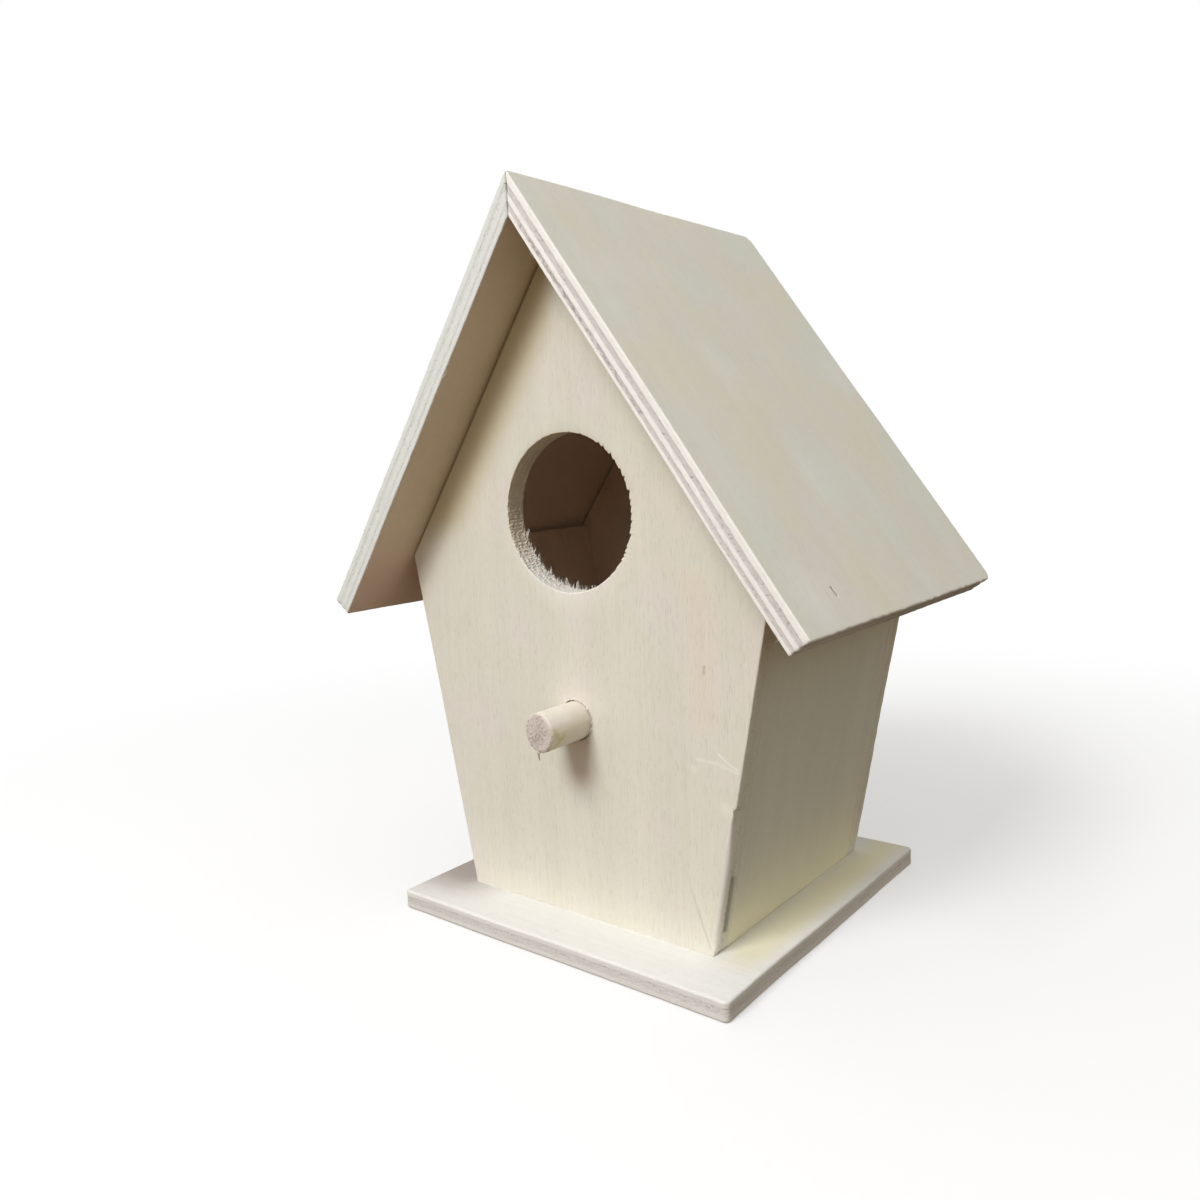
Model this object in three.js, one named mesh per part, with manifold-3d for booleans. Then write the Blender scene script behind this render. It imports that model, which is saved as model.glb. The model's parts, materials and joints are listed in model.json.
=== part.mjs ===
// A small plywood birdhouse. Millimetres, +Z up, entrance towards -Y.
// Seven sheets of thin plywood are glued edge to face and pinned with headless brads: a base,
// a front and a back panel with gabled tops, two side walls that lean outwards, and two steep
// roof slabs mitred together at the ridge. A short dowel perch stands out below the entrance.

import * as THREE from 'three';
import { mergeVertices } from 'three/addons/utils/BufferGeometryUtils.js';
import Module from 'manifold-3d';

// ---------------------------------------------------------------- driving dimensions

const TOTAL_HEIGHT = 120;          // underside of the base to the ridge
const ROOF_PITCH = 54.1;           // degrees between a roof slab and the base

const FOOT_WIDTH = 50.5;           // across the side walls where they stand on the base
const SHOULDER_WIDTH = 73.3;       // across the side walls where they meet the roof
const BODY_DEPTH = 50;             // front face of the front panel to back face of the back panel

const BASE_THICKNESS = 3.2;
const PANEL_THICKNESS = 3.8;       // front and back panels
const WALL_THICKNESS = 3;          // side walls
const ROOF_THICKNESS = 3.8;

const BASE_SIDE_LEDGE = 8.45;      // base beyond the side walls' feet, each side
const BASE_FRONT_LEDGE = 10;       // base beyond the front panel
const BASE_BACK_LEDGE = 6.8;       // base beyond the back panel
const ROOF_FRONT_OVERHANG = 10;
const ROOF_BACK_OVERHANG = 8.4;
const EAVE_OVERHANG = 12.7;        // roof slab past the shoulder, along its slope

const ENTRANCE_DIAMETER = 25.2;
const ENTRANCE_HEIGHT = 70.2;      // hole centre above the table

const PERCH_DIAMETER = 6.35;
const PERCH_HEIGHT = 36.7;         // dowel centre above the table
const PERCH_REACH = 8.7;           // in front of the front panel
const PERCH_TAIL = 1.5;            // inside, past the front panel
const PERCH_EDGE_ROUNDING = 0.5;

const BRAD_DIAMETER = 0.8;
const BRAD_LENGTH = 12;
const BRAD_SINK = 0.4;             // head below the face it was driven through
const BRAD_POINT = 1;              // length of the tapered point

// ---------------------------------------------------------------- clearances

const GLUE_LINE = 0.3;             // between glued faces
const DOWEL_GAP = 0.3;             // round the dowel in its hole
const PILOT_GAP = 0.25;            // round a brad in its pilot hole
const CUT_MARGIN = 1;              // how far a cutter runs past the face it opens

// ---------------------------------------------------------------- brad places

const ROOF_BRADS_FROM_RIDGE = 18;  // upper roof brad, along the slope from the ridge
const ROOF_BRADS_FROM_SHOULDER = 4;// lower roof brad, along the slope above the shoulder
const WALL_BRADS_FROM_FOOT = 12;   // lower panel brad above the base
const WALL_BRADS_FROM_SHOULDER = 11; // upper panel brad below the shoulder
const BASE_BRADS_FROM_FOOT_EDGE = 9; // base brads in from the side walls' feet

// ---------------------------------------------------------------- derived sizes

const PITCH = THREE.MathUtils.degToRad(ROOF_PITCH);
const SLOPE = Math.tan(PITCH);
const SLAB_RISE = ROOF_THICKNESS / Math.cos(PITCH);
const GLUE_RISE = GLUE_LINE / Math.cos(PITCH);
const MITRE_HALF_GAP = GLUE_LINE / 2;

const ROOF_PEAK = TOTAL_HEIGHT + MITRE_HALF_GAP * SLOPE;  // where the two outer faces would meet
const GABLE_PEAK = ROOF_PEAK - SLAB_RISE - GLUE_RISE;     // top of the front and back panels
const SHOULDER_HEIGHT = GABLE_PEAK - SHOULDER_WIDTH / 2 * SLOPE;

// The body sits so that the overall box, front to back, is centred on Y = 0.
const FRONT_REACH = Math.max(ROOF_FRONT_OVERHANG, BASE_FRONT_LEDGE, PERCH_REACH);
const BACK_REACH = Math.max(ROOF_BACK_OVERHANG, BASE_BACK_LEDGE);
const FRONT_FACE_Y = FRONT_REACH - (FRONT_REACH + BODY_DEPTH + BACK_REACH) / 2;
const BACK_FACE_Y = FRONT_FACE_Y + BODY_DEPTH;

const DOWN_SLOPE = new THREE.Vector2(Math.cos(PITCH), -Math.sin(PITCH));
const SHOULDER_DISTANCE = SHOULDER_WIDTH / 2 / Math.cos(PITCH) + ROOF_THICKNESS * SLOPE;
const SLAB_LENGTH = SHOULDER_DISTANCE + EAVE_OVERHANG;

// ---------------------------------------------------------------- materials

const PLYWOOD = { roughness: 0.82, metalness: 0 };
const finishes = {
	panel: { color: 0xdad3c2, ...PLYWOOD },
	wall: { color: 0xcfc5ae, ...PLYWOOD },
	roof: { color: 0xcfc9bb, ...PLYWOOD },
	base: { color: 0xe6e1d6, ...PLYWOOD },
	dowel: { color: 0xd9cdb4, ...PLYWOOD },
	brad: { color: 0x8f9194, roughness: 0.4, metalness: 1 },
};

// ---------------------------------------------------------------- solids

const wasm = await Module();
wasm.setup();

function toSolid(geometry) {

	const bare = geometry.clone();
	bare.deleteAttribute('normal');
	bare.deleteAttribute('uv');
	const merged = mergeVertices(bare);
	return new wasm.Manifold(new wasm.Mesh({
		numProp: 3,
		vertProperties: new Float32Array(merged.attributes.position.array),
		triVerts: new Uint32Array(merged.index.array),
	}));

}

function toGeometry(solid) {

	const mesh = solid.getMesh();
	const geometry = new THREE.BufferGeometry();
	geometry.setAttribute('position', new THREE.BufferAttribute(mesh.vertProperties, 3));
	geometry.setIndex(new THREE.BufferAttribute(mesh.triVerts, 1));
	geometry.computeVertexNormals();
	return geometry;

}

// A geometry with every cutter, itself a closed geometry, taken out of it.
function drilled(geometry, cutters) {

	return toGeometry(cutters.reduce((solid, cutter) => solid.subtract(toSolid(cutter)), toSolid(geometry)));

}

// A closed outline of [x, z] points, extruded along Y between two planes.
function sheetAlongY(outline, yLow, yHigh) {

	const shape = new THREE.Shape(outline.map(([x, z]) => new THREE.Vector2(x, z)));
	const geometry = new THREE.ExtrudeGeometry(shape, { depth: yHigh - yLow, bevelEnabled: false });
	geometry.rotateX(Math.PI / 2);
	geometry.translate(0, yHigh, 0);
	return geometry;

}

// A shape made round the Z axis, turned so that its +Z runs along a direction from a point.
function aimed(geometry, point, direction) {

	const turn = new THREE.Quaternion().setFromUnitVectors(new THREE.Vector3(0, 0, 1), direction);
	geometry.applyQuaternion(turn);
	geometry.translate(point.x, point.y, point.z);
	return geometry;

}

// A round profile of [radius, height] points, turned round the Z axis.
function turned(profile, segments) {

	const geometry = new THREE.LatheGeometry(profile.map(([r, h]) => new THREE.Vector2(r, h)), segments);
	geometry.rotateX(Math.PI / 2);
	return geometry;

}

// The straight bore of a radius from a point along a direction, opened past the point's face.
function bore(radius, length, point, direction, segments) {

	const profile = [[0, -CUT_MARGIN], [radius, -CUT_MARGIN], [radius, length], [0, length]];
	return aimed(turned(profile, segments), point, direction);

}

// ---------------------------------------------------------------- brads

// One row for each brad: its name, the point on the outer face where it was driven, and its
// direction into the wood.
function bradPlaces() {

	const places = [];
	const panelMidY = { front: FRONT_FACE_Y + PANEL_THICKNESS / 2, back: BACK_FACE_Y - PANEL_THICKNESS / 2 };
	const slopeStops = {
		upper: ROOF_BRADS_FROM_RIDGE,
		lower: SHOULDER_DISTANCE - ROOF_BRADS_FROM_SHOULDER,
	};
	const heights = {
		lower: BASE_THICKNESS + WALL_BRADS_FROM_FOOT,
		upper: SHOULDER_HEIGHT - WALL_BRADS_FROM_SHOULDER,
	};

	for (const [side, sign] of [['left', -1], ['right', 1]]) {

		for (const [end, y] of Object.entries(panelMidY)) {

			for (const [level, along] of Object.entries(slopeStops)) {

				places.push({
					name: `brad_${side}_roof_${end}_${level}`,
					point: new THREE.Vector3(sign * DOWN_SLOPE.x * along, y, ROOF_PEAK + DOWN_SLOPE.y * along),
					direction: new THREE.Vector3(-sign * Math.sin(PITCH), 0, -Math.cos(PITCH)),
				});

			}

			for (const [level, height] of Object.entries(heights)) {

				places.push({
					name: `brad_${end}_${side}_wall_${level}`,
					point: new THREE.Vector3(
						sign * wallMiddleX(height),
						end === 'front' ? FRONT_FACE_Y : BACK_FACE_Y,
						height,
					),
					direction: new THREE.Vector3(0, end === 'front' ? 1 : -1, 0),
				});

			}

			places.push({
				name: `brad_base_${end}_${side}`,
				point: new THREE.Vector3(sign * (FOOT_WIDTH / 2 - BASE_BRADS_FROM_FOOT_EDGE), y, 0),
				direction: new THREE.Vector3(0, 0, 1),
			});

		}

	}

	return places;

}

// The right wall's outer face leans from the foot to the shoulder.
const WALL_RISE = SHOULDER_HEIGHT - BASE_THICKNESS;
const WALL_RUN = (SHOULDER_WIDTH - FOOT_WIDTH) / 2;
const WALL_LEVEL_THICKNESS = WALL_THICKNESS * Math.hypot(WALL_RISE, WALL_RUN) / WALL_RISE;

function wallOuterX(height) {

	return FOOT_WIDTH / 2 + WALL_RUN * (height - BASE_THICKNESS) / WALL_RISE;

}

function wallMiddleX(height) {

	return wallOuterX(height) - WALL_LEVEL_THICKNESS / 2;

}

const brads = bradPlaces();

function bradGeometry({ point, direction }) {

	const radius = BRAD_DIAMETER / 2;
	const profile = [[0, 0], [radius, 0], [radius, BRAD_LENGTH - BRAD_POINT], [0, BRAD_LENGTH]];
	return aimed(turned(profile, 12), point.clone().addScaledVector(direction, BRAD_SINK), direction);

}

// Pilot holes for the brads whose names hold a word, each a little deeper than its brad.
function pilotHoles(...words) {

	const depth = BRAD_SINK + BRAD_LENGTH + PILOT_GAP;
	return brads
		.filter(({ name }) => words.some((word) => name.includes(word)))
		.map(({ point, direction }) => bore(BRAD_DIAMETER / 2 + PILOT_GAP, depth, point, direction, 12));

}

// ---------------------------------------------------------------- sheets

function baseGeometry() {

	const half = FOOT_WIDTH / 2 + BASE_SIDE_LEDGE;
	const outline = [[-half, 0], [half, 0], [half, BASE_THICKNESS], [-half, BASE_THICKNESS]];
	const sheet = sheetAlongY(outline, FRONT_FACE_Y - BASE_FRONT_LEDGE, BACK_FACE_Y + BASE_BACK_LEDGE);
	return drilled(sheet, pilotHoles('base'));

}

function gablePanel(yLow, yHigh) {

	return sheetAlongY([
		[-FOOT_WIDTH / 2, BASE_THICKNESS],
		[FOOT_WIDTH / 2, BASE_THICKNESS],
		[SHOULDER_WIDTH / 2, SHOULDER_HEIGHT],
		[0, GABLE_PEAK],
		[-SHOULDER_WIDTH / 2, SHOULDER_HEIGHT],
	], yLow, yHigh);

}

function frontPanelGeometry() {

	const inward = new THREE.Vector3(0, 1, 0);
	const through = PANEL_THICKNESS + CUT_MARGIN;
	const entrance = new THREE.Vector3(0, FRONT_FACE_Y, ENTRANCE_HEIGHT);
	const perch = new THREE.Vector3(0, FRONT_FACE_Y, PERCH_HEIGHT);
	return drilled(gablePanel(FRONT_FACE_Y, FRONT_FACE_Y + PANEL_THICKNESS), [
		bore(ENTRANCE_DIAMETER / 2, through, entrance, inward, 96),
		bore(PERCH_DIAMETER / 2 + DOWEL_GAP, through, perch, inward, 32),
		...pilotHoles('front'),
	]);

}

function backPanelGeometry() {

	return drilled(gablePanel(BACK_FACE_Y - PANEL_THICKNESS, BACK_FACE_Y), pilotHoles('back'));

}

// The wall's top is bevelled to the roof's pitch, a glue line under the slab.
function wallGeometry(side, sign) {

	const innerFoot = FOOT_WIDTH / 2 - WALL_LEVEL_THICKNESS;
	const lean = WALL_RUN / WALL_RISE;
	const innerTop = (GABLE_PEAK - BASE_THICKNESS + innerFoot / lean) / (1 / lean + SLOPE);
	const outline = [
		[innerFoot, BASE_THICKNESS],
		[FOOT_WIDTH / 2, BASE_THICKNESS],
		[SHOULDER_WIDTH / 2, SHOULDER_HEIGHT],
		[innerTop, GABLE_PEAK - innerTop * SLOPE],
	];
	const yLow = FRONT_FACE_Y + PANEL_THICKNESS + GLUE_LINE;
	const yHigh = BACK_FACE_Y - PANEL_THICKNESS - GLUE_LINE;
	return drilled(sheetAlongY(mirrored(outline, sign), yLow, yHigh), pilotHoles(`${side}_wall`));

}

// One slab: mitred at the ridge, square at the eave.
function roofGeometry(side, sign) {

	const eave = DOWN_SLOPE.clone().multiplyScalar(SLAB_LENGTH);
	const inward = new THREE.Vector2(-Math.sin(PITCH), -Math.cos(PITCH)).multiplyScalar(ROOF_THICKNESS);
	const outline = [
		[MITRE_HALF_GAP, ROOF_PEAK - MITRE_HALF_GAP * SLOPE],
		[MITRE_HALF_GAP, ROOF_PEAK - SLAB_RISE - MITRE_HALF_GAP * SLOPE],
		[eave.x + inward.x, ROOF_PEAK + eave.y + inward.y],
		[eave.x, ROOF_PEAK + eave.y],
	];
	const yLow = FRONT_FACE_Y - ROOF_FRONT_OVERHANG;
	const yHigh = BACK_FACE_Y + ROOF_BACK_OVERHANG;
	return drilled(sheetAlongY(mirrored(outline, sign), yLow, yHigh), pilotHoles(`${side}_roof`));

}

// An outline of the right side, or its mirror image in the same winding for the left.
function mirrored(outline, sign) {

	return sign > 0 ? outline : outline.map(([x, z]) => [-x, z]).reverse();

}

// ---------------------------------------------------------------- perch

function perchGeometry() {

	const radius = PERCH_DIAMETER / 2;
	const length = PERCH_REACH + PANEL_THICKNESS + PERCH_TAIL;
	const rounding = PERCH_EDGE_ROUNDING;
	const steps = 4;
	const edge = Array.from({ length: steps + 1 }, (_, i) => {

		const angle = Math.PI / 2 * i / steps;
		return [radius - rounding + rounding * Math.sin(angle), rounding - rounding * Math.cos(angle)];

	});
	const profile = [[0, 0], ...edge, [radius, length], [0, length]];
	const end = new THREE.Vector3(0, FRONT_FACE_Y - PERCH_REACH, PERCH_HEIGHT);
	return aimed(turned(profile, 40), end, new THREE.Vector3(0, 1, 0));

}

// ---------------------------------------------------------------- assembly

const group = new THREE.Group();

function place(name, geometry, finish) {

	const mesh = new THREE.Mesh(geometry, new THREE.MeshStandardMaterial(finish));
	mesh.name = name;
	group.add(mesh);

}

place('base_plate', baseGeometry(), finishes.base);
place('front_panel', frontPanelGeometry(), finishes.panel);
place('back_panel', backPanelGeometry(), finishes.panel);
for (const [side, sign] of [['left', -1], ['right', 1]]) {

	place(`${side}_wall`, wallGeometry(side, sign), finishes.wall);
	place(`${side}_roof`, roofGeometry(side, sign), finishes.roof);

}

place('perch_dowel', perchGeometry(), finishes.dowel);
for (const brad of brads) {

	place(brad.name, bradGeometry(brad), finishes.brad);

}

export default group;
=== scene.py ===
"""Looks for a small unfinished plywood birdhouse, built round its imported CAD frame."""

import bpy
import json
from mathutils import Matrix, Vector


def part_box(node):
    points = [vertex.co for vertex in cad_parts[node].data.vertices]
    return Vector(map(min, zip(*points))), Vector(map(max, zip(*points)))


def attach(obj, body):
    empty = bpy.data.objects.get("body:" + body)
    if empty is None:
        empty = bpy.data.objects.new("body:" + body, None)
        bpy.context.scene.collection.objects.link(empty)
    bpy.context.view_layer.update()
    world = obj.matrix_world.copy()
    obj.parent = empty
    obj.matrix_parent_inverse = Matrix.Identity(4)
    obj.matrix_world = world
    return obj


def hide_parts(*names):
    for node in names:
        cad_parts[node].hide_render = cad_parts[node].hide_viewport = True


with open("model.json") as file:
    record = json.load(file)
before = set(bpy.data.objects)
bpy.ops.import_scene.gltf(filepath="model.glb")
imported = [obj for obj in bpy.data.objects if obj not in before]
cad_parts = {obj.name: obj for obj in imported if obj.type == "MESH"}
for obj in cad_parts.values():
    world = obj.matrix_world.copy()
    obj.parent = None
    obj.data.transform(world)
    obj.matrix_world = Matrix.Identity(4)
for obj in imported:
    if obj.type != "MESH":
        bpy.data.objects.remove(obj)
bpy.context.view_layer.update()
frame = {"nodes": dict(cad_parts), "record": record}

import json
import math

import bmesh
import bpy
import numpy as np
from mathutils import Matrix, Vector

bl_info = {
    "name": "Plywood Birdhouse",
    "version": (1, 0, 0),
    "blender": (4, 5, 0),
    "location": "3D View > Sidebar > Birdhouse",
    "description": "Builds the plywood sheets, perch and torn fibres of a small birdhouse, and its studio",
    "category": "Add Mesh",
}

MM = 0.001
UP = np.array([0.0, 0.0, 1.0])
THREE_PLIES = (0.3, 0.7)
FIVE_PLIES = (0.25, 0.48, 0.66, 0.84)
SIDES = (("left", -1), ("right", 1))
PANEL_TONES = "panel panel_pink panel_green inside panel_ply panel_cross_ply"


# ---------------------------------------------------------------- sizes and sheets


def node_points(node):
    """The corners of a CAD node, in metres."""
    mesh = frame["nodes"][node].data
    points = np.empty(len(mesh.vertices) * 3)
    mesh.vertices.foreach_get("co", points)
    return points.reshape(-1, 3)


class HouseSizes:
    """The body, roof, perch and entrance sizes, in metres, measured on the CAD nodes."""

    def __init__(self):
        panel = node_points("front_panel")
        self.foot_z = panel[:, 2].min()
        foot = panel[panel[:, 2] < self.foot_z + 0.1 * MM]
        self.foot_half = foot[:, 0].max()
        self.shoulder_half = panel[:, 0].max()
        self.shoulder_z = panel[panel[:, 0].argmax(), 2]
        self.gable_z = panel[:, 2].max()
        self.panel_thickness = np.ptp(panel[:, 1])
        self.front_y = panel[:, 1].min()
        self.back_y = node_points("back_panel")[:, 1].max()

        wall = node_points("right_wall")
        wall_foot = wall[wall[:, 2] < self.foot_z + 0.1 * MM]
        run = self.shoulder_half - self.foot_half
        self.wall_lean = math.atan2(run, self.shoulder_z - self.foot_z)
        self.wall_thickness = np.ptp(wall_foot[:, 0]) * math.cos(self.wall_lean)

        slab = node_points("right_roof")
        ridge = slab[slab[:, 2].argmax()]
        eave = slab[slab[:, 0].argmax()]
        lip = slab[slab[:, 2].argmin()]
        self.pitch = math.atan2(ridge[2] - eave[2], eave[0] - ridge[0])
        self.ridge = ridge[0], ridge[2]
        self.slope_length = math.hypot(eave[0] - ridge[0], ridge[2] - eave[2])
        self.roof_thickness = math.hypot(eave[0] - lip[0], eave[2] - lip[2])
        self.roof_y = slab[:, 1].min(), slab[:, 1].max()

        openings = frame["record"]["physics"]["openings"]
        box = next(row["box_m"] for row in openings if row["name"] == "entrance")
        middle = np.mean(box, axis=0)
        self.entrance = middle[0], middle[2]
        self.entrance_radius = np.hypot(panel[:, 0] - middle[0], panel[:, 2] - middle[2]).min()

        low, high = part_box("perch_dowel")
        self.perch_radius = (high.x - low.x) / 2
        self.perch_middle = np.array([(low.x + high.x) / 2, 0, (low.z + high.z) / 2])
        self.perch_y = low.y, high.y


SIZES = HouseSizes()


class Sheet:
    """A flat sheet's own frame: an origin on its outer face, the directions across and along
    the grain in that face, and the outward normal. Depth runs inwards from the outer face."""

    def __init__(self, origin, across, along, thickness):
        self.origin = np.array(origin, float)
        self.across = np.array(across, float)
        self.along = np.array(along, float)
        self.normal = np.cross(self.across, self.along)
        self.thickness = thickness

    def place(self, local):
        """origin + a * across + b * along - depth * normal, for local points (a, b, depth)."""
        a, b, depth = (local[..., i, None] for i in range(3))
        return self.origin + a * self.across + b * self.along - depth * self.normal


def house_sheets():
    """Every sheet's frame, from the measured sizes."""
    lean, pitch = SIZES.wall_lean, SIZES.pitch
    ridge_x, ridge_z = SIZES.ridge
    low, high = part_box("base_plate")
    middle = (0, (low.y + high.y) / 2, high.z)
    sheets = {
        "base_plate": Sheet(middle, (1, 0, 0), (0, 1, 0), high.z - low.z),
        "front_panel": Sheet((0, SIZES.front_y, 0), (1, 0, 0), UP, SIZES.panel_thickness),
        "back_panel": Sheet((0, SIZES.back_y, 0), (-1, 0, 0), UP, SIZES.panel_thickness),
    }
    for side, sign in SIDES:
        origin = (sign * SIZES.foot_half, 0, SIZES.foot_z)
        upwards = (sign * math.sin(lean), 0, math.cos(lean))
        sheets[f"{side}_wall"] = Sheet(origin, (0, sign, 0), upwards, SIZES.wall_thickness)
        upwards = (-sign * math.cos(pitch), 0, math.sin(pitch))
        ridge = (sign * ridge_x, 0, ridge_z)
        sheets[f"{side}_roof"] = Sheet(ridge, (0, sign, 0), upwards, SIZES.roof_thickness)
    return sheets


SHEETS = house_sheets()


# ---------------------------------------------------------------- numpy surfaces


def ripple(seed, wavelength, *coordinates):
    """Smooth seeded noise in about -1..1: the mean of twelve sine waves with random directions
    and phases, whose wavelengths are spread round the given one, times the root of six."""
    random = np.random.default_rng(seed)
    waves = 12
    total = 0.0
    for _ in range(waves):
        direction = random.normal(size=len(coordinates))
        direction /= np.linalg.norm(direction)
        length = wavelength * random.uniform(0.6, 1.6)
        phase = random.uniform(0, 2 * math.pi)
        along = sum(part * step for part, step in zip(coordinates, direction))
        total = total + np.sin(2 * math.pi * along / length + phase)
    return total / waves * math.sqrt(6)


def smooth_step(value, start, end):
    """0 before the start, 1 after the end, with 3 t squared - 2 t cubed between."""
    t = np.clip((value - start) / (end - start), 0, 1)
    return t * t * (3 - 2 * t)


def unit(vectors):
    """Vectors divided by their lengths."""
    return vectors / np.linalg.norm(vectors, axis=-1, keepdims=True)


def circle(angle, y=0.0):
    """Points (cos, y, sin) of a unit circle facing the front."""
    return np.stack(np.broadcast_arrays(np.cos(angle), y, np.sin(angle)), axis=-1)


def rounded_outline(corners, radius, step):
    """Points, outward normals and running lengths round a convex polygon whose corners are
    arcs, of one radius or of one each, with straight sides in equal steps between them."""
    corners = np.array(corners, float)
    radii = np.broadcast_to(radius, len(corners))
    sides = np.roll(corners, -1, axis=0) - corners
    headings = np.arctan2(sides[:, 1], sides[:, 0])
    turns = (headings - np.roll(headings, 1)) % (2 * math.pi)
    reaches = radii * np.tan(turns / 2)
    points, normals = [], []
    for i, corner in enumerate(corners):
        side = np.linalg.norm(sides[i])
        towards = sides[i] / side
        left = np.array([-towards[1], towards[0]])
        angles = np.linspace(headings[i] - turns[i], headings[i], 7) - math.pi / 2
        arc = np.stack([np.cos(angles), np.sin(angles)], axis=1)
        points.append(corner + towards * reaches[i] + left * radii[i] + radii[i] * arc)
        normals.append(arc)

        straight = side - reaches[i] - reaches[(i + 1) % len(corners)]
        steps = max(2, round(straight / step))
        distances = reaches[i] + straight * np.arange(1, steps)[:, None] / steps
        points.append(corner + towards * distances)
        normals.append(np.repeat(-left[None, :], steps - 1, axis=0))
    points, normals = np.concatenate(points), np.concatenate(normals)
    gaps = np.linalg.norm(np.diff(points, axis=0), axis=1)
    return points, normals, np.concatenate([[0.0], np.cumsum(gaps)])


def wandering(outline, seed, amount, notch=None):
    """An outline whose points stray outwards and inwards: long waves of 30 mm and short ones
    of 3 mm, a quarter as deep. A notch is a function of the points giving a further inset."""
    points, normals, lengths = outline
    share = 2 * math.pi * lengths / lengths[-1]
    around = lengths[-1] / (2 * math.pi)
    loop = around * np.cos(share), around * np.sin(share)
    stray = ripple(seed, 30 * MM, *loop) + 0.25 * ripple(seed + 1, 3 * MM, *loop)
    inset = notch(points) if notch else 0
    return points + normals * (amount * stray - inset)[:, None], normals, lengths


def quarter(rounding, steps):
    """Insets and depths of a rounded edge: a quarter circle from the face to the side."""
    angles = np.linspace(0, math.pi / 2, steps + 1)
    return rounding * (1 - np.sin(angles)), rounding * (1 - np.cos(angles))


def section(thickness, rounding, face_rows, side_rows, rim_rounding=0.0):
    """The rows of a sheet's section as (weight, outer inset, rim inset, depth). Weight blends
    from the hole or centre, 0, to the outline, 1. The rows run over the outer face, round the
    edge, back over the inner face and, where there is a hole, out through its bore."""
    inset, depth = quarter(rounding, 4)
    spread = 1 - (1 - np.linspace(0, 1, face_rows)) ** 1.6
    front = [(w, rounding, rim_rounding, 0.0) for w in spread]
    front += [(1.0, i, rim_rounding, d) for i, d in zip(inset[1:], depth[1:])]
    side_depths = np.linspace(rounding, thickness - rounding, side_rows)[1:-1]
    rows = front + [(1.0, 0.0, rim_rounding, d) for d in side_depths]
    rows += [(w, i, r, thickness - d) for w, i, r, d in reversed(front)]
    if rim_rounding:
        rim_inset, rim_depth = quarter(rim_rounding, 3)
        rim = [(0.0, rounding, i, d) for i, d in zip(rim_inset[1:], rim_depth[1:])]
        bore_depths = np.linspace(thickness - rim_rounding, rim_rounding, side_rows)[1:-1]
        rows += [(w, o, i, thickness - d) for w, o, i, d in rim]
        rows += [(0.0, rounding, 0.0, d) for d in bore_depths] + rim[::-1]
    return np.array(rows)


def sheet_grid(outline, rows, centre, relief, ease=1.0, inner=1.0, hole_radius=0.0, rim_relief=None):
    """A sheet's closed surface as rings of local points. A ring is the blend of the hole's
    circle and the outline, each moved in by the row's inset plus its relief, at its depth.
    Ease multiplies the outer edge's inset and, where it is over 1, pushes the rows just behind
    the edge deeper. Inner multiplies the inset on the inner half."""
    points, normals, _ = outline
    weight, outer, rim, depth = (rows[:, i][:, None] for i in range(4))
    spoke = unit(points - np.array(centre))
    rounding, thickness = outer.max(), depth.max()
    ease = ease(points) if callable(ease) else ease + np.zeros(len(points))
    half = thickness / 2
    rise = np.clip(depth / rounding, 0, 1) * np.clip((half - depth) / (half - rounding), 0, 1)
    on_side = weight == 1
    outer = outer * np.where(depth < half, ease, np.minimum(ease, inner)) + relief(depth) * on_side
    depth = depth + rounding * np.maximum(ease - 1, 0) * rise * on_side
    rim = rim + (rim_relief(spoke[None, :, :], depth) * (weight == 0) if rim_relief else 0)
    on_hole = centre + spoke * (hole_radius + rim)[..., None] * (hole_radius > 0)
    on_edge = points - normals * outer[..., None]
    plane = on_hole * (1 - weight[..., None]) + on_edge * weight[..., None]
    return np.concatenate([plane, depth[..., None]], axis=2)


def bevelled(grid, low, high, low_angle, high_angle):
    """Slants a sheet's two ends: every point moves along the grain by its depth times the
    tangent of the end angle, blended evenly from the low end to the high end."""
    share = (grid[..., 1] - low) / (high - low)
    grid[..., 1] += grid[..., 2] * (math.tan(low_angle) * (1 - share) + math.tan(high_angle) * share)
    return grid


def wavy(grid, seed, amount):
    """Moves a sheet's points through its thickness by long smooth waves, alike on both faces."""
    grid[..., 2] += amount * ripple(seed, 28 * MM, grid[..., 0], grid[..., 1])
    return grid


def ply_relief(outline, thickness, borders, amount, seed, torn=None):
    """How far each point of a cut edge sits back: the cross plies by the given amount, with pits
    where short noise peaks, and every ply by a little fuzz. Torn is a function of the points,
    depth and noise giving any further damage."""
    points, _, lengths = outline

    def relief(depth):
        level = depth / thickness
        cross = sum(
            smooth_step(level, start, start + 0.03) * (1 - smooth_step(level, end - 0.03, end))
            for start, end in zip(borders[::2], borders[1::2])
        )
        fuzz = ripple(seed, 0.8 * MM, lengths, depth * 2)
        pits = np.clip(ripple(seed + 1, 2.2 * MM, lengths, depth * 4) - 1.0, 0, None)
        inset = amount * (cross * (1 + 0.4 * fuzz + 4 * pits) + 0.12 * fuzz)
        if torn:
            inset += torn(points[None], depth, ripple(seed + 2, 2.6 * MM, lengths, depth * 0.5))
        return inset

    return relief


def ring_quads(rings, columns, closed):
    """Quads between neighbouring rings, each ring closed on itself."""
    row = np.arange(rings if closed else rings - 1)[:, None] * columns
    column = np.arange(columns)[None, :]
    after, beside = (row + columns) % (rings * columns), (column + 1) % columns
    corners = row + column, row + beside, after + beside, after + column
    return np.stack(np.broadcast_arrays(*corners), axis=-1).reshape(-1, 4)


def fan(pole, column):
    """Triangles from a pole to every edge of a ring."""
    return np.stack([np.full(len(column), pole), np.roll(column, -1), column], axis=1).tolist()


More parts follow.
